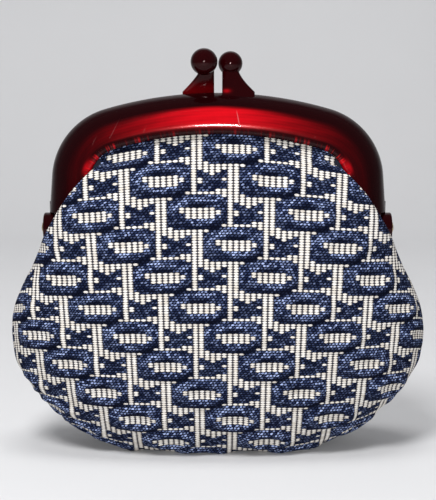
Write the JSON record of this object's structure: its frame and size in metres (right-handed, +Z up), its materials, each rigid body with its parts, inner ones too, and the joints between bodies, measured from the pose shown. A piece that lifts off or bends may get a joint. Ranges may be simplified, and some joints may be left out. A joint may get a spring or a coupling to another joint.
{
  "type": "fabric clasp purse",
  "caption": "Small plump purse of woven navy and cream cloth on a hinged dark red plastic frame with a ball clasp.",
  "frame": {"origin": "on the table, midway between the two hinges and midway between the front and the back panel", "axes": "+X to the purse's right as seen from the front, -Y out of the front panel, +Z up"},
  "size_m": [0.1222, 0.0448, 0.1176],
  "materials": {
    "frame_plastic": "polished, dark ruby red, slightly see-through",
    "pin_metal": "plain drawn wire, dulled",
    "woven_cloth": "coarse tapestry weave, navy with cream ribs and dashes",
    "lining_cloth": "plain dark lining",
    "cord_paper": "twisted paper cord"
  },
  "bodies": {
    "pouch": {"front_panel": "woven_cloth", "back_panel": "woven_cloth", "front_lining": "lining_cloth", "back_lining": "lining_cloth"},
    "front_half": {"front_frame": "frame_plastic", "front_wedge_cord": "cord_paper"},
    "rear_half": {"rear_frame": "frame_plastic", "rear_wedge_cord": "cord_paper", "left_hinge_pin": "pin_metal", "right_hinge_pin": "pin_metal"}
  },
  "joints": [
    {"name": "front_frame_hinge", "type": "hinge", "parent": "pouch", "child": "front_half", "pos_m": [0, 0, 0.065], "axis": [1, 0, 0], "range_deg": [0, 50], "deforming": ["front_panel", "front_lining"]},
    {"name": "rear_frame_hinge", "type": "hinge", "parent": "pouch", "child": "rear_half", "pos_m": [0, 0, 0.065], "axis": [-1, 0, 0], "range_deg": [0, 50], "deforming": ["back_panel", "back_lining"]}
  ]
}
